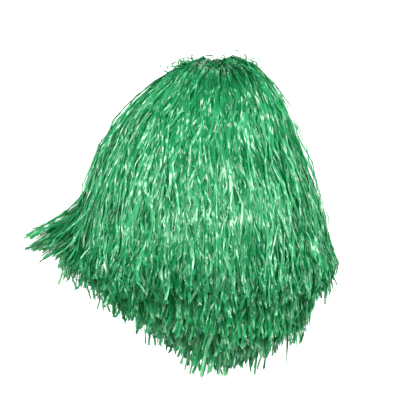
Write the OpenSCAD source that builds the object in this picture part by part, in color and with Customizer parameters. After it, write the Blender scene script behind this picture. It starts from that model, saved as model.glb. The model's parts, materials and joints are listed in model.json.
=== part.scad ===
// Cheer pom pom: slit plastic film bound round the top of a short hand stick.
// The film rises from the binding, arches over as a crown and falls round the hand as a bell
// with two hems. Each thirty degrees of the fall is one hank that can swing up and out.
// Frame: origin at the centre of the hand grip, +Z up the stick, lifted hanks on the -X side.

/* [Stick] */
// Outside diameter of the stick's tube
tube_d = 16; // [14:0.5:18]
// Bore diameter of the tube
bore_d = 12.4; // [10:0.1:12.6]
// Height of the tube's lower end
tube_bottom = -62; // [-70:1:-60]
// Height of the tube's upper end
tube_top = 128; // [126:1:132]
// Length of the grip sleeve, centred on the origin
sleeve_h = 100; // [90:1:104]
// Outside diameter of the grip sleeve
sleeve_d = 25; // [22:0.5:28]
// Number of finger grooves round the sleeve
groove_count = 9; // [5:1:12]
// Outside diameter of the flange at the butt of the stick
butt_d = 31; // [28:0.5:36]
// Outside diameter of the collar under the film
collar_d = 36; // [34:0.5:42]

/* [Binding] */
// Lower edge of the uncut film bands wound on the stick
header_bottom = 68; // [66:1:72]
// Upper edge of the uncut film bands
header_top = 124; // [120:1:125]
// Wound thickness of each of the three film bands
header_wall = 3; // [2.5:0.1:3]
// Width of a cable tie
tie_w = 5; // [4:0.5:6]

/* [Film] */
// Number of hanks round the pom pom
hank_count = 12; // [12:1:12]
// Angle of film in one hank
hank_angle = 28; // [26:0.5:28]
// Height of the crown's outer rim, where the hanks hinge
rim_z = 153; // [150:1:156]
// Radius of the crown's rim
rim_r = 48; // [46:1:50]
// Thickness of one ply of loose film at the rim
ply_step = 10; // [8:0.5:11]
// Radius of the outer hem
bell_r = 168; // [160:1:172]
// Height of the outer hem's upper edge
bell_z = -108; // [-112:1:-104]
// Height of the lowest tips of the inner fall
fall_z = -212; // [-216:1:-206]
// Air left between neighbouring plies at the rim
air = 0.5; // [0.4:0.1:0.8]
// Air left between neighbouring plies at the hems, where the film hangs loose
slack = 4; // [1:0.5:6]

/* [Lifted hanks] */
// Reach of the two hanks that lie out over the wearer's forearm
lift_reach = 220; // [210:1:224]
// Height of their tips
lift_tip_z = -70; // [-74:1:-66]

/* [Hidden] */
// Curves are cut into this many chords
STEPS = 9;
CROWN_STEPS = 10;
$fn = 96;
// Glued pieces leave this much round the tube
GLUE = 0.05;
TUBE_R = tube_d / 2;
BORE_R = bore_d / 2;
SLEEVE_R = sleeve_d / 2;
// Grooves round the sleeve
GROOVE_W = 3;
GROOVE_DEPTH = 0.9;
GROOVE_PITCH = (sleeve_h - 12) / (groove_count - 1);
// Collar and butt flange
COLLAR_Z = 58;
COLLAR_H = 6;
BUTT_H = 12;
BUTT_LIP = 4;
EDGE = 1;
// Plug in a counterbore at the top of the tube, and its cross pin
COUNTERBORE_Z = tube_top - 30;
COUNTERBORE_R = BORE_R + 0.4;
PLUG_BOTTOM = COUNTERBORE_Z + 1;
PIN_Z = 112;
PIN_R = 1.5;
// Film bands, from the stick outwards
BAND_R = [for (k = [0:3]) TUBE_R + 0.1 + k * header_wall];
BAND_AIR = 0.1;
BINDING_R = BAND_R[3];
// Ties, with their heads, and the tape between them
TIE_WALL = 1.3;
TIE_HEAD = [6, 8, 6];
LOWER_TIE_Z = 76;
UPPER_TIE_Z = 108;
TAPE_Z = 86;
TAPE_H = 18;
TAPE_WALL = 0.8;
// The hanks start just outside the rim
HANK_R = rim_r + 0.5;
HINGE_R = rim_r + 0.25;
// Crown rise above the rim, and the radius where its arch turns down
CROWN_RISE = 18;
CROWN_TURN = 26;
CROWN_Z = header_top + 0.5;
// Rest of the four layer surfaces, outermost first: radius and height of each lower end
LAYER_R = [bell_r, bell_r - 18, bell_r - 36, bell_r - 74];
LAYER_Z = [bell_z, -140, -172, -10];
// Tips of each fall, outside to inside
OUTER_TIPS = [[bell_r - 4, bell_z - 14]];
MIDDLE_TIPS = [[bell_r - 24, -153]];
INNER_TIPS = [[122, -183], [100, -198], [70, fall_z + 4], [46, fall_z], [44, fall_z + 2]];
INNER_LINING = [[94, -60], [83, -120], [62, -175]];
// Height at which each fall ends on its inner side
OUTER_CUT = -122;
MIDDLE_CUT = -160;
// Lifted hanks: the end of a short bell, the upper surface after it, and the lining below
LIFT_BELL = [137, 6];
LIFT_OUTER = [[152, -14], [178, -42], [196, -53], [lift_reach - 6, lift_tip_z + 8]];
LIFT_START = [HANK_R, rim_z - 3 * ply_step];
LIFT_INNER = [[62, 102], [72, 76], [80, 48], [89, 24], [110, -10], [150, -42], [196, -66]];
LIFT_END = [lift_reach - 4, lift_tip_z - 2];
LIFTED = [6, 7];

FALLS = ["outer", "middle", "inner"];
function two(n) = n < 10 ? str("0", n) : str(n);
function hank_node(fall, n) = str(FALLS[fall], "_streamers_", two(n));
STICK_NODES = [
    "handle_tube", "grip_sleeve", "butt_ferrule", "stop_collar", "top_plug", "plug_pin",
    "outer_fall_header", "middle_fall_header", "inner_fall_header",
    "lower_cable_tie", "upper_cable_tie", "binding_tape",
    "outer_crown", "middle_crown", "inner_crown"
];
HANK_NODES = [for (n = [1:hank_count]) for (fall = [0:2]) hank_node(fall, n)];

FILM = "#3f9f6b";
FILM_SHADE = "#2f8a57";
FILM_DEEP = "#27774a";
PLASTIC = "#e9ecea";

// ---- curves -------------------------------------------------------------------------------

function reversed(points) = [for (i = [len(points) - 1:-1:0]) points[i]];
// A bell between two points: flat over the rim, plumb at the hem
function bell(from, to, v) = [
    from[0] + (to[0] - from[0]) * pow(1 - pow(1 - v, 1.5), 2 / 3),
    from[1] + (to[1] - from[1]) * v
];
// Chords are shorter near the rim, where the bell turns fastest
function spaced(i) = pow(i / STEPS, 1.6);
function bell_line(from, to, last) = [for (i = [0:STEPS]) bell(from, to, spaced(i) * last)];
// Point on the cubic curve with four control points
function cubic(p, t) =
    pow(1 - t, 3) * p[0] + 3 * pow(1 - t, 2) * t * p[1]
    + 3 * (1 - t) * t * t * p[2] + pow(t, 3) * p[3];
function rim(layer) = rim_z - layer * ply_step;
// Crown layer: up from the binding, over and down to the rim
function crown_line(layer, r) = [
    for (i = [0:CROWN_STEPS])
        cubic([
            [r, CROWN_Z], [r, rim(layer) + CROWN_RISE],
            [CROWN_TURN, rim(layer) + CROWN_RISE], [rim_r, rim(layer)]
        ], i / CROWN_STEPS)
];
function layer_line(layer, last) =
    bell_line([HANK_R, rim(layer)], [LAYER_R[layer], LAYER_Z[layer]], last);
// The side of a ply that faces the stick: the next layer, held off by the air and the slack
function lining_line(layer, last) = bell_line(
    [HANK_R + air, rim(layer) + air], [LAYER_R[layer] + slack, LAYER_Z[layer] + air], last);
// Share of a layer's drop at which it reaches a height
function drop_at(layer, z) = (rim(layer) - z) / (rim(layer) - LAYER_Z[layer]);
// Upper surface and lining of a lifted hank, with the same number of points
function lift_top() = concat(
    bell_line([HANK_R, rim(0)], LIFT_BELL, 1), LIFT_OUTER);
function lift_lining() = concat([LIFT_START], LIFT_INNER, [LIFT_END]);
// Point at a share of a line's number of chords
function along(line, share) =
    let (x = share * (len(line) - 1), i = min(floor(x), len(line) - 2))
    line[i] + (line[i + 1] - line[i]) * (x - i);
function lift_line(layer) = [
    for (i = [0:STEPS + 3])
        let (share = i / (STEPS + 3))
        along(lift_top(), share) * (1 - layer / 3) + along(lift_lining(), share) * layer / 3
];
// Lining of a crown layer or a lifted ply, drawn in by the air alone
function drawn(points) = [for (p = points) p + [air, air]];

// ---- stick --------------------------------------------------------------------------------

module ring(inner_r, outer_r, z, h) {
    translate([0, 0, z])
    difference() {
        cylinder(r = outer_r, h = h);
        translate([0, 0, -1])
        cylinder(r = inner_r, h = h + 2);
    }
}

module pin_hole() {
    translate([0, 0, PIN_Z])
    rotate([90, 0, 0])
    cylinder(r = PIN_R, h = 2 * TUBE_R + 2, center = true);
}

module handle_tube() {
    color(PLASTIC)
    difference() {
        ring(BORE_R, TUBE_R, tube_bottom, tube_top - tube_bottom);
        translate([0, 0, COUNTERBORE_Z])
        cylinder(r = COUNTERBORE_R, h = tube_top - COUNTERBORE_Z + 1);
        pin_hole();
    }
}

module grip_sleeve() {
    color("#2b2f2d")
    difference() {
        ring(TUBE_R + GLUE, SLEEVE_R, -sleeve_h / 2, sleeve_h);
        for (i = [0:groove_count - 1])
            ring(SLEEVE_R - GROOVE_DEPTH, SLEEVE_R + 2,
                 (i - (groove_count - 1) / 2) * GROOVE_PITCH - GROOVE_W / 2, GROOVE_W);
    }
}

module butt_ferrule() {
    color(PLASTIC)
    rotate_extrude()
    polygon([
        [TUBE_R + GLUE, tube_bottom], [butt_d / 2 - EDGE, tube_bottom],
        [butt_d / 2, tube_bottom + EDGE], [butt_d / 2, tube_bottom + BUTT_LIP],
        [SLEEVE_R - EDGE, tube_bottom + BUTT_LIP + EDGE], [SLEEVE_R - EDGE, tube_bottom + BUTT_H - 0.1],
        [TUBE_R + GLUE, tube_bottom + BUTT_H - 0.1]
    ]);
}

module stop_collar() {
    color(PLASTIC)
    rotate_extrude()
    polygon([
        [TUBE_R + GLUE, COLLAR_Z], [collar_d / 2 - EDGE, COLLAR_Z],
        [collar_d / 2, COLLAR_Z + EDGE], [collar_d / 2, COLLAR_Z + COLLAR_H - EDGE],
        [collar_d / 2 - EDGE, COLLAR_Z + COLLAR_H], [TUBE_R + GLUE, COLLAR_Z + COLLAR_H]
    ]);
}

module top_plug() {
    color(PLASTIC)
    difference() {
        rotate_extrude()
        polygon([
            [0, PLUG_BOTTOM], [COUNTERBORE_R - EDGE, PLUG_BOTTOM],
            [COUNTERBORE_R, PLUG_BOTTOM + EDGE], [COUNTERBORE_R, tube_top],
            [TUBE_R, tube_top], [TUBE_R, tube_top + 2],
            [TUBE_R - 2, tube_top + 5], [0, tube_top + 7]
        ]);
        pin_hole();
    }
}

module plug_pin() {
    color("silver")
    translate([0, 0, PIN_Z])
    rotate([90, 0, 0])
    cylinder(r = PIN_R, h = 2 * TUBE_R - 0.2, center = true);
}

// ---- binding ------------------------------------------------------------------------------

// Uncut band of film, wound on the stick
module header_band(band) {
    ring(BAND_R[band], BAND_R[band + 1] - BAND_AIR, header_bottom, header_top - header_bottom);
}

module outer_fall_header() {
    color(FILM)
    header_band(0);
}

module middle_fall_header() {
    color(FILM_SHADE)
    header_band(1);
}

module inner_fall_header() {
    color(FILM_DEEP)
    header_band(2);
}

// Strap round the bands with its ratchet head and cut tail
module cable_tie(z, turn) {
    color("#f2f4f3")
    rotate([0, 0, turn])
    difference() {
        union() {
            ring(BINDING_R, BINDING_R + TIE_WALL, z, tie_w);
            translate([BINDING_R + 0.3, -TIE_HEAD[1] / 2, z + (tie_w - TIE_HEAD[2]) / 2])
            cube(TIE_HEAD);
            translate([BINDING_R + TIE_HEAD[0] - 2, TIE_HEAD[1] / 2 - 1, z + 0.5])
            cube([1.2, 5, tie_w - 1]);
        }
        cylinder(r = BINDING_R, h = rim_z);
    }
}

module lower_cable_tie() {
    cable_tie(LOWER_TIE_Z, 20);
}

module upper_cable_tie() {
    cable_tie(UPPER_TIE_Z, 200);
}

module binding_tape() {
    color("#dfe6e2")
    ring(BINDING_R, BINDING_R + TAPE_WALL, TAPE_Z, TAPE_H);
}

// ---- crown --------------------------------------------------------------------------------

module crown(layer) {
    rotate_extrude()
    polygon(concat(
        crown_line(layer, BAND_R[layer] + BAND_AIR),
        reversed(drawn(crown_line(layer + 1, BAND_R[layer + 1] - 2 * BAND_AIR - air)))
    ));
}

module outer_crown() {
    color(FILM)
    crown(0);
}

module middle_crown() {
    color(FILM_SHADE)
    crown(1);
}

module inner_crown() {
    color(FILM_DEEP)
    crown(2);
}

// ---- hanks --------------------------------------------------------------------------------

// Section of one fall of a hanging hank, in radius and height
module fall_section(fall) {
    lining = [
        lining_line(1, drop_at(1, OUTER_CUT)),
        lining_line(2, drop_at(2, MIDDLE_CUT)),
        concat(layer_line(3, 1), INNER_LINING)
    ];
    tips = [OUTER_TIPS, MIDDLE_TIPS, INNER_TIPS];
    polygon(concat(layer_line(fall, 1), tips[fall], reversed(lining[fall])));
}

// The same for a hank that lies out over the forearm
module lift_section(fall) {
    polygon(concat(
        lift_line(fall),
        fall == 0 ? [[lift_reach, lift_tip_z + 2]] : [],
        reversed(drawn(lift_line(fall + 1)))
    ));
}

module streamers(fall, n) {
    color([FILM, FILM_SHADE, FILM_DEEP][fall])
    rotate([0, 0, (n - 0.5) * 360 / hank_count - hank_angle / 2])
    rotate_extrude(angle = hank_angle)
    if (len(search(n, LIFTED)) > 0) lift_section(fall);
    else fall_section(fall);
}

handle_tube();
grip_sleeve();
butt_ferrule();
stop_collar();
top_plug();
plug_pin();
outer_fall_header();
middle_fall_header();
inner_fall_header();
lower_cable_tie();
upper_cable_tie();
binding_tape();
outer_crown();
middle_crown();
inner_crown();
for (n = [1:hank_count])
    for (fall = [0:2])
        streamers(fall, n);
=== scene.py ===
# %% [markdown]
# # A cheer pom pom of slit film
# A shaker pom pom is several thousand strips of thin dyed polyethylene. They are slit from a sheet
# whose uncut edge is wound round the top of a short stick and tied. Each strip stands up out of the
# tie, turns over the crown and falls round the wearer's fist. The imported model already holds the
# stick, its binding and plain solids where the film hangs, so this lesson keeps the stick and puts
# real strips where the plain solids are.

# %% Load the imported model
import json
import math

import bpy
import numpy as np
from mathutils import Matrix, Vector


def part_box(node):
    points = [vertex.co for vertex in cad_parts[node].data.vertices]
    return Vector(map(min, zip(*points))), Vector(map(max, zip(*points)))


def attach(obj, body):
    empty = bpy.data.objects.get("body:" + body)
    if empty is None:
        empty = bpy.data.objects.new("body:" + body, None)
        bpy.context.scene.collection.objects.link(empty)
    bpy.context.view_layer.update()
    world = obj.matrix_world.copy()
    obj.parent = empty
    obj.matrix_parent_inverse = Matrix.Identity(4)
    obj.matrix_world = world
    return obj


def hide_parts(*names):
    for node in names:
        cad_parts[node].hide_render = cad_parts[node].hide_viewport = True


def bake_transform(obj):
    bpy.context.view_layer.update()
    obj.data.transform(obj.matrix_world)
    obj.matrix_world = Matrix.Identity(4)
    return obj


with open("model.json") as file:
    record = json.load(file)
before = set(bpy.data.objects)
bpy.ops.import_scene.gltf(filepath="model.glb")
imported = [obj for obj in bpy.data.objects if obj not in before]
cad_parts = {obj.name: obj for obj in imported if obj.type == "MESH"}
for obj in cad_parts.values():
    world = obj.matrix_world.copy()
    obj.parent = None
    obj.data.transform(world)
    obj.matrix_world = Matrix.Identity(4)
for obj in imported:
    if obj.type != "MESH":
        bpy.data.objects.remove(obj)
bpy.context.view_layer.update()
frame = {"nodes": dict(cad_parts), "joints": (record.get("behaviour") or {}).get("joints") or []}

MM = 0.001

# %% [markdown]
# ## Where things are
# Every size below is read from the frame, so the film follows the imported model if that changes. A
# hank is a twelfth of the film. Its hinge sits on the rim of the crown, and the direction from the
# stick to that hinge is the way the hank faces.

# %% Sizes from the frame
hinges = {joint["child"]: joint["pos_m"] for joint in frame["joints"]}
hanks = sorted(hinges)
facing = {hank: math.atan2(hinges[hank][1], hinges[hank][0]) for hank in hanks}
HANK_ANGLE = 2 * math.pi / len(hanks)
RIM_R = math.hypot(hinges[hanks[0]][0], hinges[hanks[0]][1])
RIM_Z = hinges[hanks[0]][2]
FALLS = ("outer", "middle", "inner")
BAND_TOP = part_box("outer_fall_header")[1].z
BAND_R = {fall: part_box(f"{fall}_fall_header")[1].x for fall in FALLS}
HEM_Z = {fall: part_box(f"{fall}_streamers_01")[0].z for fall in FALLS}
BELL_R = max(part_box("outer_streamers_01")[1].x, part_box("outer_streamers_12")[1].x)
LIFT_R = -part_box("outer_streamers_06")[0].x
LIFT_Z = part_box("outer_streamers_06")[0].z
print("rim", round(RIM_R, 4), round(RIM_Z, 4), "bell", round(BELL_R, 4), "hems", HEM_Z)

# %% [markdown]
# ## The paths that the strips follow
# A strip's path is three curves end to end, each a radius and a height. A cubic goes up from the tie
# and over the crown. A piece of a superellipse makes the bell, flat over the rim and plumb at the
# hem. A second cubic carries the tip. All the strips of a ply are worked out at once: the numbers
# that shape them are columns with one row a strip, and a curve is a table of one row a strip.

# %% Curves
CROWN_RINGS = 5
BELL_RINGS = 12
TIP_RINGS = 5


def cubic(a, b, c, d, t):
    """(1-t)^3 a + 3(1-t)^2 t b + 3(1-t) t^2 c + t^3 d, for columns a to d and a row t."""
    return (1 - t) ** 3 * a + 3 * (1 - t) ** 2 * t * b + 3 * (1 - t) * t * t * c + t**3 * d


def smooth(low, high, x):
    """0 below low, 1 above high, and 3t^2 - 2t^3 between them."""
    t = np.clip((x - low) / (high - low), 0, 1)
    return t * t * (3 - 2 * t)


def crown_curve(root_r, rim_r, rim_z, rise):
    """A cubic from the tie, straight up at first, over the crown to the rim."""
    t = np.linspace(0, 1, CROWN_RINGS, endpoint=False)[None, :]
    r = cubic(root_r, root_r, rim_r * 0.54, rim_r, t)
    z = cubic(BAND_TOP, rim_z + rise, rim_z + rise, rim_z, t)
    return r, z


def bell_point(rim_r, rim_z, wide_r, wide_z, turn):
    """r = rim + (wide - rim) sin(a)^(4/3) and z = wide + (rim - wide) cos(a)^(4/3).

    a is the share turn of a right angle: 0 is the rim and 1 the bell's widest ring."""
    a = turn * math.pi / 2
    r = rim_r + (wide_r - rim_r) * np.sin(a) ** (4 / 3)
    z = wide_z + (rim_z - wide_z) * np.cos(a) ** (4 / 3)
    return r, z


def bell_curve(rim_r, rim_z, wide_r, wide_z, end):
    """Points of the bell from the rim to the share end of its right angle."""
    turn = np.linspace(0, 1, BELL_RINGS, endpoint=False)[None, :] ** 0.9 * end
    return bell_point(rim_r, rim_z, wide_r, wide_z, turn)


def tip_curve(start, pull, near, tip):
    """A cubic from start through the handles pull and near to the tip, each an (r, z) pair."""
    t = np.linspace(0, 1, TIP_RINGS)[None, :]
    return tuple(cubic(start[k], pull[k], near[k], tip[k], t) for k in (0, 1))


print("rings a strip:", CROWN_RINGS + BELL_RINGS + TIP_RINGS)

# %% [markdown]
# ## One strip of film
# Real film is far thinner than its width and is creased along its length by the slitting, so each
# strip is a long closed prism with three corners: two edges and a low ridge between them. Two
# attributes go with every point. One is its place on its own strip in metres, which the finish
# reads, and the other is how light it is drawn there: its tone, with painted shade and light.

# %% Strips along paths
FILM_WIDTH = 3.1 * MM
RIDGE = 0.35 * MM
rng = np.random.default_rng(7)


def waves(along, lengths, heights):
    """A sum of sines along each strip, each with its own start and a slightly changed length."""
    total = np.zeros_like(along)
    for length, height in zip(lengths, heights):
        phase = rng.uniform(0, 2 * math.pi, (len(along), 1))
        stretch = rng.uniform(0.75, 1.3, (len(along), 1))
        total += height * np.sin(2 * math.pi * along / (length * stretch) + phase)
    return total


def unit(v):
    """v / |v|, row by row."""
    return v / np.maximum(np.linalg.norm(v, axis=-1, keepdims=True), 1e-9)


def corners_of(points, roll, width, cut):
    """Corners centre - half width, centre + ridge and centre + half width.

    The width lies level across the path and is turned by roll about it. cut slants the tip."""
    along = unit(np.gradient(points, axis=1))
    outward = points * np.array([1, 1, 0]) + 1e-9
    side = unit(np.cross(np.array([0, 0, 1.0]), outward))
    side = unit(side - (side * along).sum(-1, keepdims=True) * along)
    across = np.cos(roll)[..., None] * side + np.sin(roll)[..., None] * np.cross(side, along)
    half = across * (width / 2)[..., None]
    ridge = np.cross(along, across) * RIDGE
    corners = np.stack([points - half, points + ridge, points + half], axis=2)
    corners[:, -1, 0] += along[:, -1] * cut
    corners[:, -1, 2] -= along[:, -1] * cut
    return corners


def strip_faces(count, rings):
    """Three four-cornered faces between each pair of rings, and a triangle on each end."""
    start = np.arange(count)[:, None, None] * rings * 3
    ring = np.arange(rings - 1)[None, :, None] * 3
    corner = np.arange(3)[None, None, :]
    a = start + ring + corner
    b = start + ring + (corner + 1) % 3
    quads = np.stack([a, a + 3, b + 3, b], axis=-1).reshape(-1, 4)
    first = start[:, 0, 0]
    last = first + (rings - 1) * 3
    caps = np.concatenate([np.stack([first, first + 1, first + 2], 1),
                           np.stack([last + 2, last + 1, last], 1)])
    return quads, caps


def strip_piece(name, points, roll, width, tint, cut, seed):
    """An object of closed strips along points (strips, rings, 3), and the strips' mean length."""
    count, rings, _ = points.shape
    quads, caps = strip_faces(count, rings)
    loops = np.concatenate([quads.ravel(), caps.ravel()])
    sizes = np.concatenate([np.full(len(quads), 4), np.full(len(caps), 3)])
    mesh = bpy.data.meshes.new(name)
    mesh.vertices.add(count * rings * 3)
    mesh.vertices.foreach_set("co", corners_of(points, roll, width, cut).ravel())
    mesh.loops.add(len(loops))
    mesh.loops.foreach_set("vertex_index", loops)
    mesh.polygons.add(len(sizes))
    mesh.polygons.foreach_set("loop_start", np.concatenate([[0], np.cumsum(sizes)[:-1]]))
    mesh.polygons.foreach_set("use_smooth", np.ones(len(sizes), bool))
    mesh.update(calc_edges=True)
    mesh.set_sharp_from_angle(angle=math.radians(50))

    step = np.linalg.norm(np.diff(points, axis=1), axis=-1)
    reach = np.concatenate([np.zeros((count, 1)), np.cumsum(step, axis=1)], axis=1)
    place = np.zeros((count, rings, 3, 3), np.float32)
    place[..., 0] = np.array([-0.5, 0, 0.5]) * width[..., None]
    place[..., 1] = reach[..., None]
    place[..., 2] = seed[..., None]
    mesh.attributes.new("place", "FLOAT_VECTOR", "POINT").data.foreach_set("vector", place.ravel())
    # Per point: the strip's tone with painted shade and painted light.
    shade = np.repeat(np.clip(tint, 0, 1)[..., None], 3, axis=2).astype(np.float32)
    mesh.attributes.new("tint", "FLOAT", "POINT").data.foreach_set("value", shade.ravel())
    piece = bpy.data.objects.new(name, mesh)
    bpy.context.scene.collection.objects.link(piece)
    return piece, float(reach[:, -1].mean())


print("a strip is", round(FILM_WIDTH / MM, 1), "mm wide with a ridge of", round(RIDGE / MM, 2), "mm")

# %% [markdown]
# ## Nodes
# Each finish below is a tree of nodes. One helper adds a node with its settings and its wires, and
# another turns the hex colours that people write into the linear values that shaders take.

# %% Helpers for materials


def linear(hex_colour):
    """Each sRGB value s becomes s / 12.92 when low, and ((s + 0.055) / 1.055)^2.4 otherwise."""
    s = np.array([int(hex_colour[i:i + 2], 16) for i in (1, 3, 5)]) / 255
    return (*np.where(s <= 0.04045, s / 12.92, ((s + 0.055) / 1.055) ** 2.4), 1.0)


def add(tree, kind, settings, wires=None):
    """A node of that kind. settings holds inputs, properties, or stops of a ramp; wires feed inputs."""
    node = tree.nodes.new(kind)
    for key, value in settings.items():
        if key == "stops":
            ramp = node.color_ramp.elements
            while len(ramp) < len(value):
                ramp.new(1.0)
            for element, (position, colour) in zip(ramp, value):
                element.position = position
                element.color = linear(colour)
        elif isinstance(key, int) or key in node.inputs:
            node.inputs[key].default_value = value
        else:
            setattr(node, key, value)
    for key, socket in (wires or {}).items():
        tree.links.new(socket, node.inputs[key])
    return node


def new_material(name):
    """An empty node tree with the material that it belongs to."""
    material = bpy.data.materials.new(name)
    material.use_nodes = True
    material.node_tree.nodes.clear()
    return material, material.node_tree


# %% [markdown]
# ## Slit polyethylene film
# The strips are low density polyethylene, dyed through and blown thin. The surface is smooth, so it
# throws small bright glints, and light also comes through from the other side, which keeps the
# folds a clear green and never grey. Pale patches about 3.5 mm wide and 12 mm long are painted
# sheen. The slitting leaves a crinkle about 4 mm wide and 11 mm long, which is bump here. The
# three plies get three finishes with painted shade: the inner ones are darker, as less light
# reaches them.

# %% Film finishes
PATCH = (1 / (3.5 * MM), 1 / (12 * MM), 1.0)
CRINKLE = (1 / (4 * MM), 1 / (11 * MM), 1.0)
CRINKLE_HEIGHT = 1.5 * MM
THROUGH = 0.46


def slit_film(name, dark, mid, light, pale, glow, shine):
    """Film from dark to pale with its tone, painted shade and light, and patches of painted sheen.

    glow is the colour of the light that comes through it, and THROUGH the share of that light."""
    material, tree = new_material(name)
    place = add(tree, "ShaderNodeAttribute", {"attribute_name": "place"}).outputs["Vector"]
    tint = add(tree, "ShaderNodeAttribute", {"attribute_name": "tint"}).outputs["Fac"]
    patch_map = add(tree, "ShaderNodeMapping", {"Scale": PATCH}, {"Vector": place})
    patches = add(tree, "ShaderNodeTexNoise", {"Scale": 1.0, "Detail": 1.0},
                  {"Vector": patch_map.outputs["Vector"]})
    # Patches of painted sheen, which lift the colour towards pale.
    painted_sheen = add(tree, "ShaderNodeMapRange",
                  {"From Min": 0.53, "From Max": 0.65, "To Min": 0.0, "To Max": 0.46},
                  {"Value": patches.outputs["Fac"]})
    shade = add(tree, "ShaderNodeMath", {"operation": "ADD"},
                {0: painted_sheen.outputs["Result"], 1: tint})
    # The ramp turns the film's tone, with painted shade and painted light, into its colour.
    surface_colour = add(tree, "ShaderNodeValToRGB",
              {"stops": [(0.0, dark), (0.42, mid), (0.7, light), (1.0, pale)]},
              {"Fac": shade.outputs["Value"]})
    crinkle_map = add(tree, "ShaderNodeMapping", {"Scale": CRINKLE}, {"Vector": place})
    crinkle = add(tree, "ShaderNodeTexNoise", {"Scale": 1.0, "Detail": 2.0, "Roughness": 0.5},
                  {"Vector": crinkle_map.outputs["Vector"]})
    bump = add(tree, "ShaderNodeBump", {"Strength": 1.0, "Distance": CRINKLE_HEIGHT},
               {"Height": crinkle.outputs["Fac"]})
    gloss = add(tree, "ShaderNodeMapRange", {"To Min": 0.18, "To Max": 0.32},
                {"Value": patches.outputs["Fac"]})
    body = add(tree, "ShaderNodeBsdfPrincipled",
               {"IOR": 1.52, "Specular IOR Level": shine, "Specular Tint": (0.78, 1.0, 0.8, 1.0)},
               {"Base Color": surface_colour.outputs["Color"], "Roughness": gloss.outputs["Result"],
                "Normal": bump.outputs["Normal"]})
    lit = add(tree, "ShaderNodeValToRGB", {"stops": [(0.0, mid), (1.0, glow)]},
              {"Fac": shade.outputs["Value"]})
    through = add(tree, "ShaderNodeBsdfTranslucent", {},
                  {"Color": lit.outputs["Color"], "Normal": bump.outputs["Normal"]})
    both = add(tree, "ShaderNodeMixShader", {"Fac": THROUGH},
               {1: body.outputs["BSDF"], 2: through.outputs["BSDF"]})
    add(tree, "ShaderNodeOutputMaterial", {}, {"Surface": both.outputs["Shader"]})
    return material


# One film in three finishes: the middle and inner ones are darker as painted shade.
film_finish = {
    "outer": slit_film("slit_film_outer", "#08582f", "#149055", "#42bc80", "#cce9d6", "#4cdc94", 0.62),
    "middle": slit_film("slit_film_middle", "#06582e", "#12904e", "#30ac70", "#98d4a4", "#34c080", 0.45),
    "inner": slit_film("slit_film_inner", "#05522a", "#108a4a", "#2aa064", "#80c494", "#2cac6e", 0.35),
}
print("film finishes:", [m.name for m in film_finish.values()])

# %% [markdown]
# ## The shape of the fall
# The film is denser on one side, so the crown leans that way and its rim is lumpy. A hank of the
# outer ply hangs as the outside of the bell, the middle ply ends lower inside it, and the inner ply
# fills the space round the fist and reaches lowest. Strips that share a lock keep together, and
# their tips end at nearly the same height, because they were cut in one stroke.

# %% Plies
# Each pair goes from the outermost strips of a ply to the innermost. drop is how far the ply's rim
# lies under the crown's, in mm. wide is the bell's widest radius and tip the hem's, as shares of
# BELL_R. wide_z is the height of the widest ring in mm, and tip_z that of the hem in metres. short
# is how much the lifted strips vary in length, and tilt and bow lean and arch the hem, in mm. dusk
# is painted shade near the hem, and bright is painted light on the last of the tip.
PLIES = {
    "outer": {"strips": 320, "drop": 0, "wide": (0.965, 0.89), "wide_z": (-98, -95),
              "tip": (0.975, 0.89), "tip_z": (HEM_Z["outer"], HEM_Z["outer"]), "short": 24,
              "tilt": 6, "bow": 8, "dusk": 0.14, "bright": 0.0},
    "middle": {"strips": 165, "drop": 10, "wide": (0.83, 0.76), "wide_z": (-112, -114),
               "tip": (0.80, 0.73), "tip_z": (HEM_Z["middle"], HEM_Z["middle"]), "short": 46,
               "tilt": -3, "bow": 3, "dusk": 0.13, "bright": 0.2},
    "inner": {"strips": 210, "drop": 20, "wide": (0.76, 0.56), "wide_z": (-140, -20),
              "tip": (0.70, 0.25), "tip_z": (-170 * MM, HEM_Z["inner"]), "short": 70,
              "tilt": -8, "bow": 8, "dusk": 0.17, "bright": 0.5},
}
LOCKS = 9
LOCK_ROWS = 400
lock_table = np.random.default_rng(11).normal(0, 1, (LOCK_ROWS, 3))
HANG_LEAVES = 0.82
LIFT_LEAVES = 0.64
LOWEST_TIP = HEM_Z["inner"] - 14 * MM
print("locks a hank:", LOCKS, "lowest tip at", round(LOWEST_TIP / MM), "mm")


def between(pair, share):
    """pair[0] + (pair[1] - pair[0]) share."""
    return pair[0] + (pair[1] - pair[0]) * share


def spread(low, high, count):
    """A column of count random numbers from low to high."""
    return rng.uniform(low, high, (count, 1))


def scatter(size, count):
    """A column of count random numbers about 0 with the standard deviation size."""
    return rng.normal(0, size, (count, 1))


def lump(azimuth):
    """How much higher the crown's rim stands: 2 cos(a) + 2 sin(3a + 2) mm."""
    return (2 * np.cos(azimuth) + 2 * np.sin(3 * azimuth + 2)) * MM


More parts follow.
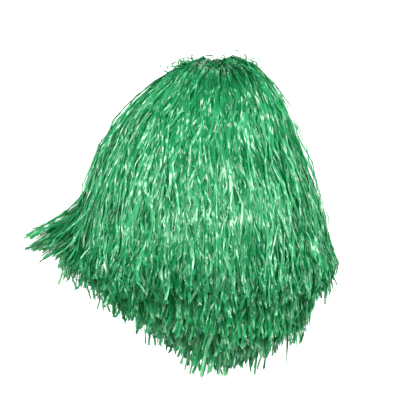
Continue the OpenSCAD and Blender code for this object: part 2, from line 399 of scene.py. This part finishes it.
def hanging(ply, azimuth, depth, lock, rim):
    """Radius and height of strips that hang: the bell, then a tip that ends near the hem."""
    count = len(azimuth)
    arm_side = np.maximum(0, -np.cos(azimuth))
    draw_in = 1 - 0.0009 * ply["drop"] ** 1.7 * arm_side
    wide_r = BELL_R * between(ply["wide"], depth) * draw_in
    wide_z = between(ply["wide_z"], depth) * MM
    tip_r = BELL_R * between(ply["tip"], depth) * draw_in + scatter(4 * MM, count)
    tip_z = between(ply["tip_z"], depth ** 0.7) + 3 * MM + lock_table[lock][..., 0] * 6 * MM
    tip_z = tip_z + 22 * MM * arm_side ** 3 + 9 * MM * np.maximum(0, -np.sin(azimuth))
    tip_z = tip_z + (4 * np.sin(3 * azimuth + 1) + 4 * np.sin(7 * azimuth + 2)) * MM
    tip_z = tip_z + (ply["tilt"] * np.cos(azimuth) + ply["bow"] * np.cos(azimuth) ** 2) * MM
    tip_z = tip_z + scatter(8 * MM, count)
    tip_z = np.maximum(tip_z, LOWEST_TIP)
    start = bell_point(*rim, wide_r, wide_z, HANG_LEAVES)
    near = (tip_r + scatter(9 * MM, count), tip_z + 20 * MM)
    bell = bell_curve(*rim, wide_r, wide_z, HANG_LEAVES)
    tip = tip_curve(start, (start[0] + 4 * MM, start[1] - 18 * MM), near, (tip_r, tip_z))
    return [np.concatenate([bell[k], tip[k]], axis=1) for k in (0, 1)]


def lifted(ply, azimuth, depth, rim):
    """Radius and height of strips that lie out over the forearm: part of the bell, then a sweep.

    Four in ten droop: they end nearer the stick and lower than the rest."""
    count = len(azimuth)
    wide_r = BELL_R * between(ply["wide"], depth)
    wide_z = between(ply["wide_z"], depth) * MM
    start = bell_point(*rim, wide_r, wide_z, LIFT_LEAVES)
    short = np.minimum(rng.exponential(ply["short"] * MM, (count, 1)), 105 * MM)
    short = np.where(rng.uniform(0, 1, (count, 1)) < 0.6, spread(15, 75, count) * MM, short)
    droop = rng.uniform(0, 1, (count, 1)) < 0.4
    tip_r = LIFT_R - 3 * MM - short - droop * spread(12, 50, count) * MM
    tip_z = LIFT_Z + 6 * MM - 3 * MM * depth - 0.1 * short + scatter(8 * MM, count)
    bell = bell_curve(*rim, wide_r, wide_z, LIFT_LEAVES)
    near = (tip_r - np.where(droop, 2, spread(12, 50, count)) * MM,
            tip_z + np.where(droop, 8, spread(6, 24, count)) * MM)
    tip = tip_curve(start, (start[0] + 8 * MM, start[1] - 24 * MM), near,
                    (tip_r, tip_z - droop * spread(8, 44, count) * MM))
    return [np.concatenate([bell[k], tip[k]], axis=1) for k in (0, 1)]


# %% [markdown]
# ## What makes it look loose
# Left like that, the strips would be as neat as a brush. Every strip wanders sideways a little more
# the further it hangs, a few stand well clear as flyaways, and each one rolls about its own length,
# so that its flat side faces a new way every few centimetres. That rolling is what sparkles.

# %% A hank of one ply
CROWN_LEAN = 18 * MM
STRAYS = 0.06
GATHER = 0.3
OVER_ARM = -0.9
print("strays:", round(100 * STRAYS), "in a hundred strips")


def paths_of(fall, hank):
    """Radius, height, azimuth and the random numbers of every strip in a hank's ply."""
    ply = PLIES[fall]
    count = ply["strips"]
    azimuth = facing[hank] + spread(-0.51, 0.51, count) * HANK_ANGLE
    depth = spread(0, 1, count)
    lock = np.floor(azimuth / HANK_ANGLE * LOCKS + 0.6 * depth).astype(int) % len(lock_table)
    rim_r = RIM_R - (5 + 6 * depth) * MM + scatter(2.5 * MM, count)
    rim_z = RIM_Z + 1 * MM - (ply["drop"] + 9 * depth) * MM + lump(azimuth) + scatter(1.5 * MM, count)
    root_r = BAND_R[fall] - spread(0, 2.6, count) * MM
    crown = crown_curve(root_r, rim_r, rim_z, 11 * MM + scatter(3 * MM, count))
    hang = hanging(ply, azimuth, depth, lock, (rim_r, rim_z))
    lift = lifted(ply, azimuth, depth, (rim_r, rim_z))
    off_arm = np.abs(azimuth % (2 * math.pi) - math.pi) + scatter(math.radians(2.5), count)
    share = smooth(math.radians(31), math.radians(12), off_arm)
    share = share * np.where(rng.uniform(0, 1, (count, 1)) < 0.25, spread(0.1, 0.8, count), 1)
    r, z = (np.concatenate([crown[k], hang[k] * (1 - share) + lift[k] * share], axis=1)
            for k in (0, 1))
    return r, z, azimuth, depth, lock


def loosen(r, z, azimuth, lock):
    """Points of the strips once they lean, gather into locks, wander and stray."""
    count = len(r)
    step = np.hypot(np.diff(r, axis=1), np.diff(z, axis=1))
    along = np.concatenate([np.zeros((count, 1)), np.cumsum(step, axis=1)], axis=1)
    share = along / along[:, -1:]
    free = smooth(0.08, 0.42, share)
    lean = CROWN_LEAN * smooth(0.0, 0.13, share) * (1 - smooth(0.14, 0.55, share))
    stray = rng.uniform(0, 1, (count, 1)) > 1 - STRAYS
    slope = scatter(13 * MM, count) * (1 + 1.4 * stray)
    sideways = free * waves(along, (150 * MM, 70 * MM, 45 * MM), (4.5 * MM, 2.8 * MM, 1.4 * MM))
    sideways = sideways + slope * share ** 1.2 + scatter(8 * MM, count) * share ** 6
    outward = free * waves(along, (120 * MM, 55 * MM), (2.4 * MM, 1.4 * MM))
    outward = outward + scatter(2 * MM, count) * share
    outward = outward + stray * spread(2, 13, count) * MM * np.sin(math.pi * share) * free
    middle = (np.floor(azimuth / HANK_ANGLE * LOCKS) + 0.5) / LOCKS * HANK_ANGLE
    gather = (middle - azimuth) * GATHER * share ** 1.6
    angle = azimuth + gather + sideways / np.maximum(r, 30 * MM)
    r = r + outward
    points = np.stack([r * np.cos(angle) + lean, r * np.sin(angle), z], axis=-1)
    return points, along, share, stray


def hank_piece(fall, hank):
    """The strips of one ply of one hank, in place of its solid.

    Painted shade darkens the crown and the hem; painted light pales it over the arm and at tips."""
    r, z, azimuth, depth, lock = paths_of(fall, hank)
    points, along, share, stray = loosen(r, z, azimuth, lock)
    count = len(r)
    roll = scatter(0.45, count) + math.pi * (rng.uniform(0, 1, (count, 1)) > 0.5)
    roll = roll + waves(along, (140 * MM, 62 * MM, 34 * MM), (0.4, 0.3, 0.15))
    habit = lock_table[lock]
    roll = roll + 0.5 * np.sin(2 * math.pi * along / (105 * MM) + 9 * habit[..., 0])
    roll = roll + 0.4 * np.sin(2 * math.pi * along / (47 * MM) + 9 * habit[..., 2])
    roll = roll + rng.normal(0, 0.12, r.shape)
    width = FILM_WIDTH * spread(0.65, 1.35, count) * (1 - 0.4 * stray) + 0 * r
    # Tone differs at random by strip and lock; painted shade darkens strips deeper in the ply.
    tint = 0.46 + scatter(0.12, count) + habit[..., 1] * 0.05 - 0.05 * depth
    # Painted light on the strays; painted shade near the tie, where the film is bunched.
    tint = tint + 0.1 * stray - 0.34 * (1 - smooth(0.14, 0.38, share))
    over_arm = np.cos(azimuth) < OVER_ARM
    # Painted light on the strips over the arm, painted shade near the hem.
    tint = tint + np.where(over_arm, 0.12, -PLIES[fall]["dusk"]) * smooth(0.8, 0.96, share)
    # Painted light on the last of the tip.
    tint = tint + PLIES[fall]["bright"] * smooth(0.88, 1.0, share)
    seed = 40 * habit[..., 1] + 0.5 * depth + spread(0, 0.2, count)
    piece, length = strip_piece(f"{fall}_film_{hank[-2:]}", points, roll, width, tint,
                                scatter(1.2 * MM, count), seed)
    piece.data.materials.append(film_finish[fall])
    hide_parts(f"{fall}_streamers_{hank[-2:]}")
    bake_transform(piece)
    return length


# %% All the hanks
for fall in FALLS:
    lengths = [hank_piece(fall, hank) for hank in hanks]
    print(fall, "ply:", len(hanks), "hanks of", PLIES[fall]["strips"], "strips, mean length",
          round(1000 * float(np.mean(lengths))), "mm")

# %% [markdown]
# ## The crown
# Close over the binding the film is bunched. Many strips cross the top before they fall, and thin
# torn slivers stand up out of it and curl, because slit film springs back into the curve of its
# roll. All of these belong to the stick: they don't swing with any hank.

# %% Crown strips
CROWN_STEPS = np.linspace(0, 1, 15)[None, :]
STRIP_LEAN = 15 * MM
SLIVER_LEAN = 13 * MM
print("rings a crown strip:", CROWN_STEPS.size)


def over_the_top(fall, count, rim_z, cross):
    """Points of strips from the tie to the rim, each a cubic in space.

    Most land about cross radians round the stick from where they leave it. Half land anywhere,
    and those swing out over the shoulder first. Ends turn down and hide inside the bell."""
    leave = spread(0, 2 * math.pi, count)
    crossing = rng.uniform(0, 1, (count, 1)) < 0.5
    land = np.where(crossing, spread(0, 2 * math.pi, count), leave + scatter(cross, count))
    root_r = BAND_R[fall] - spread(0, 2.6, count) * MM
    rim_r = RIM_R + scatter(4 * MM, count)
    top = rim_z + (9 + 5 * crossing) * MM + lump(land) + scatter(2.5 * MM, count)
    end_z = rim_z - 20 * MM + lump(land) + scatter(5 * MM, count)
    swing = root_r + crossing * spread(0, 1, count) * rim_r
    x, y = (cubic(root_r * trig(leave), swing * trig(leave), rim_r * 0.8 * trig(land),
                  rim_r * 1.08 * trig(land), CROWN_STEPS) for trig in (np.cos, np.sin))
    x = x + STRIP_LEAN * smooth(0.0, 0.4, CROWN_STEPS)
    z = cubic(BAND_TOP, top, top, end_z, CROWN_STEPS)
    return np.stack([x, y, z], axis=-1)


def slivers(count):
    """Points of thin ends that curl above the crown.

    Each starts a little under the surface and draws part of a flattened circle whose centre moves
    level by some millimetres: p = start + way (s t + R sin(a t)) + up R f (1 - cos(a t))."""
    where = spread(0, 2 * math.pi, count)
    r = np.sqrt(spread(0.02, 1.0, count)) * RIM_R
    surface = RIM_Z + 9 * MM + lump(where) - 12 * MM * (r / RIM_R) ** 4
    heading = where + scatter(1.0, count)
    radius = spread(5, 14, count) * MM
    sweep = spread(1.2, 4.6, count) * CROWN_STEPS
    ahead = spread(3, 22, count) * MM * CROWN_STEPS + radius * np.sin(sweep)
    x = r * np.cos(where) + SLIVER_LEAN + ahead * np.cos(heading)
    y = r * np.sin(where) + ahead * np.sin(heading)
    z = surface - 3 * MM + radius * (1 - np.cos(sweep)) * spread(0.15, 0.6, count)
    return np.stack([x, y, z], axis=-1)


def crown_piece(fall, count, rim_z, cross, loose):
    """The crown of one ply: count strips over the top and as many slivers as loose says."""
    points = np.concatenate([over_the_top(fall, count, rim_z, cross), slivers(loose)])
    total = count + loose
    thin = np.arange(total)[:, None] >= count
    along = 0.1 * CROWN_STEPS + np.zeros((total, 1))
    roll = scatter(0.8, total) + waves(along, (60 * MM,), (0.7,))
    width = FILM_WIDTH * spread(0.7, 1.1, total) * (1 - 0.5 * thin) + 0 * along
    # Painted shade: a dark crown, darker where strips turn into the bell; slivers get painted light.
    tint = 0.2 + scatter(0.1, total) + 0.1 * thin - 0.1 * CROWN_STEPS
    piece, length = strip_piece(f"{fall}_crown_film", points, roll, width, tint,
                                scatter(1 * MM, total), spread(0, 40, total))
    piece.data.materials.append(film_finish[fall])
    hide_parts(f"{fall}_crown")
    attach(piece, "handle")
    print(piece.name, total, "strips, mean length", round(1000 * length), "mm")


crown_piece("outer", 520, RIM_Z, 0.8, 140)
crown_piece("middle", 160, RIM_Z - 8 * MM, 0.8, 0)
crown_piece("inner", 120, RIM_Z - 18 * MM, 0.6, 0)

# %% [markdown]
# ## The stick and its binding
# The stick is bought or moulded in plain parts that the hand knows: a hard tube, a soft foam grip,
# a flange at the butt and a collar under the film. Little of it shows, so the finishes are quiet,
# but each has its own grain at its own size.

# %% Moulded polypropylene


def moulded(name, colour, worn, grain, gloss):
    """A moulded plastic: cloudy colour, a fine grain of that size as bump, and uneven gloss."""
    material, tree = new_material(name)
    spot = add(tree, "ShaderNodeTexCoord", {}).outputs["Object"]
    cloud = add(tree, "ShaderNodeTexNoise", {"Scale": 1 / (9 * MM), "Detail": 3.0}, {"Vector": spot})
    skin = add(tree, "ShaderNodeTexNoise", {"Scale": 1 / grain, "Detail": 2.0}, {"Vector": spot})
    surface_colour = add(tree, "ShaderNodeValToRGB", {"stops": [(0.35, worn), (0.6, colour)]},
              {"Fac": cloud.outputs["Fac"]})
    sheen = add(tree, "ShaderNodeMapRange", {"To Min": gloss - 0.07, "To Max": gloss + 0.1},
                {"Value": cloud.outputs["Fac"]})
    bump = add(tree, "ShaderNodeBump", {"Strength": 0.35, "Distance": grain * 0.15},
               {"Height": skin.outputs["Fac"]})
    body = add(tree, "ShaderNodeBsdfPrincipled", {"IOR": 1.49},
               {"Base Color": surface_colour.outputs["Color"], "Roughness": sheen.outputs["Result"],
                "Normal": bump.outputs["Normal"]})
    add(tree, "ShaderNodeOutputMaterial", {}, {"Surface": body.outputs["BSDF"]})
    return material


# Polypropylene from a spark-eroded mould: a milky white with a waxy, slightly pitted skin.
polypropylene = moulded("moulded_polypropylene", "#e9ece8", "#d9ddd7", 0.7 * MM, 0.36)
# Nylon 66 from a polished mould: a warmer, clearer white that shines more.
nylon = moulded("moulded_nylon_66", "#f0efe6", "#dedccb", 1.6 * MM, 0.26)
print("moulded plastics:", polypropylene.name, nylon.name)

# %% [markdown]
# The grip is closed-cell foam, cut from a tube. Its skin is matt and full of tiny open cells, which
# a cell pattern of about 0.9 mm gives. The real cells are half that, and drawn coarse so they show.

# %% Foam of the grip
FOAM_CELL = 0.9 * MM
eva_foam, tree = new_material("closed_cell_eva_foam")
spot = add(tree, "ShaderNodeTexCoord", {}).outputs["Object"]
cells = add(tree, "ShaderNodeTexVoronoi", {"Scale": 1 / FOAM_CELL}, {"Vector": spot})
wear = add(tree, "ShaderNodeTexNoise", {"Scale": 1 / (14 * MM), "Detail": 4.0}, {"Vector": spot})
surface_colour = add(tree, "ShaderNodeValToRGB", {"stops": [(0.3, "#26292b"), (0.7, "#3a3e40")]},
          {"Fac": wear.outputs["Fac"]})
bump = add(tree, "ShaderNodeBump", {"Strength": 0.6, "Distance": 0.25 * MM},
           {"Height": cells.outputs["Distance"]})
matt = add(tree, "ShaderNodeMapRange", {"To Min": 0.72, "To Max": 0.92},
           {"Value": wear.outputs["Fac"]})
body = add(tree, "ShaderNodeBsdfPrincipled",
           {"IOR": 1.45, "Sheen Weight": 0.15, "Sheen Roughness": 0.5},
           {"Base Color": surface_colour.outputs["Color"], "Roughness": matt.outputs["Result"],
            "Normal": bump.outputs["Normal"]})
add(tree, "ShaderNodeOutputMaterial", {}, {"Surface": body.outputs["BSDF"]})
print("foam cells drawn at", round(FOAM_CELL / MM, 1), "mm")

# %% [markdown]
# The tape and the uncut edges of the film are both wound, so both have fine lines that run round
# the stick. A noise squeezed in height gives them: long across and short upwards.

# %% Wound finishes


def wound(name, dark, light, pitch, depth, gloss):
    """Wound film or tape: lines round the stick, pitch apart in height and depth deep."""
    material, tree = new_material(name)
    spot = add(tree, "ShaderNodeTexCoord", {}).outputs["Object"]
    lines_map = add(tree, "ShaderNodeMapping", {"Scale": (60.0, 60.0, 1 / pitch)}, {"Vector": spot})
    lines = add(tree, "ShaderNodeTexNoise", {"Scale": 1.0, "Detail": 3.0},
                {"Vector": lines_map.outputs["Vector"]})
    surface_colour = add(tree, "ShaderNodeValToRGB", {"stops": [(0.3, dark), (0.7, light)]},
              {"Fac": lines.outputs["Fac"]})
    bump = add(tree, "ShaderNodeBump", {"Strength": 0.7, "Distance": depth},
               {"Height": lines.outputs["Fac"]})
    sheen = add(tree, "ShaderNodeMapRange", {"To Min": gloss, "To Max": gloss + 0.2},
                {"Value": lines.outputs["Fac"]})
    body = add(tree, "ShaderNodeBsdfPrincipled", {"IOR": 1.52},
               {"Base Color": surface_colour.outputs["Color"], "Roughness": sheen.outputs["Result"],
                "Normal": bump.outputs["Normal"]})
    add(tree, "ShaderNodeOutputMaterial", {}, {"Surface": body.outputs["BSDF"]})
    return material


# Polyethylene sheet before it is slit: many turns, so its face shows the edges of the layers.
wound_film = wound("wound_film_band", "#0a6236", "#2fae70", 0.8 * MM, 0.5 * MM, 0.2)
# Plasticised PVC tape, pulled tight: a soft shine with stretch lines.
pvc_tape = wound("wound_pvc_tape", "#cfd6d2", "#e6ebe8", 1.2 * MM, 0.15 * MM, 0.3)
print("wound finishes:", wound_film.name, pvc_tape.name)

# %% [markdown]
# The cross pin is drawn steel wire. Drawing leaves scratches along its length, so its noise is
# squeezed across the pin and long along it.

# %% Drawn steel
pin_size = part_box("plug_pin")[1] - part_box("plug_pin")[0]
long_way = [k for k in range(3) if pin_size[k] == max(pin_size)][0]
scratch = [1 / (0.12 * MM)] * 3
scratch[long_way] = 1 / (6 * MM)
drawn_steel, tree = new_material("drawn_steel_wire")
spot = add(tree, "ShaderNodeTexCoord", {}).outputs["Object"]
scratch_map = add(tree, "ShaderNodeMapping", {"Scale": scratch}, {"Vector": spot})
lines = add(tree, "ShaderNodeTexNoise", {"Scale": 1.0, "Detail": 2.0},
            {"Vector": scratch_map.outputs["Vector"]})
tone = add(tree, "ShaderNodeValToRGB", {"stops": [(0.3, "#8c9094"), (0.7, "#b4b8bb")]},
           {"Fac": lines.outputs["Fac"]})
polish = add(tree, "ShaderNodeMapRange", {"To Min": 0.24, "To Max": 0.42},
             {"Value": lines.outputs["Fac"]})
bump = add(tree, "ShaderNodeBump", {"Strength": 0.3, "Distance": 0.02 * MM},
           {"Height": lines.outputs["Fac"]})
body = add(tree, "ShaderNodeBsdfPrincipled", {"Metallic": 1.0},
           {"Base Color": tone.outputs["Color"], "Roughness": polish.outputs["Result"],
            "Normal": bump.outputs["Normal"]})
add(tree, "ShaderNodeOutputMaterial", {}, {"Surface": body.outputs["BSDF"]})
print("pin lies along axis", long_way)

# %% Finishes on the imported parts
STICK_FINISH = {
    "handle_tube": polypropylene, "butt_ferrule": polypropylene, "stop_collar": polypropylene,
    "top_plug": polypropylene, "grip_sleeve": eva_foam, "plug_pin": drawn_steel,
    "outer_fall_header": wound_film, "middle_fall_header": wound_film,
    "inner_fall_header": wound_film, "lower_cable_tie": nylon, "upper_cable_tie": nylon,
    "binding_tape": pvc_tape,
}
for node, finish in STICK_FINISH.items():
    frame["nodes"][node].data.materials.clear()
    frame["nodes"][node].data.materials.append(finish)
print("packed parts with a finish:", len(STICK_FINISH))

# %% [markdown]
# ## Backdrop, light and camera
# The pom pom is shown in the air, as if held up, over a wide pale floor. The floor turns up into a
# wall all the way round, so that every side of the object has the same quiet ground. The lights
# stand in front and a little above, because a bell of film looks deep when its face is bright and
# its crown and hems fall off into shade.

# %% Floor and wall
FLOOR_Z = -2.2
FLOOR_R = 6.0
COVE = 1.5
WALL_TOP = 3.0
SIDES = 64
t = np.linspace(0, math.pi / 2, 10)
cove = np.stack([FLOOR_R + COVE * np.sin(t), FLOOR_Z + COVE * (1 - np.cos(t))], axis=1)
profile = np.concatenate([cove, [[FLOOR_R + COVE, WALL_TOP]]])
side_angle = np.arange(SIDES) * 2 * math.pi / SIDES
ring_x = profile[:, :1] * np.cos(side_angle)
ring_y = profile[:, :1] * np.sin(side_angle)
ring_z = np.repeat(profile[:, 1:], SIDES, axis=1)
points = np.stack([ring_x, ring_y, ring_z], axis=-1).reshape(-1, 3)
a = (np.arange(len(profile) - 1)[:, None] * SIDES + np.arange(SIDES)[None, :]).ravel()
b = a - a % SIDES + (a + 1) % SIDES
quads = np.stack([a, b, b + SIDES, a + SIDES], axis=1)
mesh = bpy.data.meshes.new("floor_and_wall")
mesh.from_pydata(points.tolist(), [], [list(range(SIDES))] + quads.tolist())
mesh.polygons.foreach_set("use_smooth", np.ones(len(quads) + 1, bool))
backdrop = bpy.data.objects.new("floor_and_wall", mesh)
bpy.context.scene.collection.objects.link(backdrop)
print("floor", 2 * FLOOR_R, "m across,", -FLOOR_Z, "m below the grip")

# %% Pale paint of the floor and wall
paint, tree = new_material("pale_matt_paint")
spot = add(tree, "ShaderNodeTexCoord", {}).outputs["Object"]
cloud = add(tree, "ShaderNodeTexNoise", {"Scale": 2.0, "Detail": 2.0}, {"Vector": spot})
tone = add(tree, "ShaderNodeValToRGB", {"stops": [(0.3, "#9b9d9c"), (0.7, "#9fa1a0")]},
           {"Fac": cloud.outputs["Fac"]})
body = add(tree, "ShaderNodeBsdfPrincipled",
           {"Roughness": 0.9, "Emission Color": (1.0, 1.0, 1.0, 1.0), "Emission Strength": 0.8},
           {"Base Color": tone.outputs["Color"]})
add(tree, "ShaderNodeOutputMaterial", {}, {"Surface": body.outputs["BSDF"]})
mesh.materials.append(paint)

# %% Lights
world = bpy.data.worlds.new("studio")
world.use_nodes = True
world.node_tree.nodes["Background"].inputs["Color"].default_value = (1.0, 1.0, 1.0, 1.0)
world.node_tree.nodes["Background"].inputs["Strength"].default_value = 0.58
bpy.context.scene.world = world
bpy.context.scene.view_settings.view_transform = "Standard"


def softbox(name, place, size, power, target=(0, 0, 0)):
    """A round area light of that diameter and power in watts, turned towards the target."""
    light = bpy.data.lights.new(name, "AREA")
    light.shape = "DISK"
    light.size = size
    light.energy = power
    lamp = bpy.data.objects.new(name, light)
    lamp.location = place
    lamp.rotation_euler = (Vector(target) - Vector(place)).to_track_quat("-Z", "Y").to_euler()
    bpy.context.scene.collection.objects.link(lamp)
    print(name, "light,", power, "W")


softbox("key", (-0.4, -1.7, 0.9), 0.3, 29)
softbox("second", (0.7, -1.6, 0.8), 0.2, 17)
softbox("front", (0.05, -2.1, 0.35), 0.25, 13)
softbox("left side", (-1.7, -0.5, 0.2), 0.7, 14)
softbox("right side", (1.7, -0.5, 0.2), 0.7, 18)
softbox("back", (0.3, 0.9, 1.3), 0.8, 8)
softbox("wall", (0.0, 4.2, 2.4), 2.0, 260, (0.0, 7.5, -0.4))

# %% Camera
VIEW = Vector((12.5 * MM, 0, -22.5 * MM))
DISTANCE = 1.9
ELEVATION = math.radians(3)
FRAME_WIDTH = 0.525
camera_data = bpy.data.cameras.new("camera")
camera = bpy.data.objects.new("camera", camera_data)
camera.location = VIEW + DISTANCE * Vector((0, -math.cos(ELEVATION), math.sin(ELEVATION)))
camera.rotation_euler = (math.pi / 2 - ELEVATION, 0, 0)
camera_data.sensor_width = 36
camera_data.lens = camera_data.sensor_width * DISTANCE / FRAME_WIDTH
bpy.context.scene.collection.objects.link(camera)
bpy.context.scene.camera = camera
print("camera", DISTANCE, "m away, lens", round(camera_data.lens), "mm")
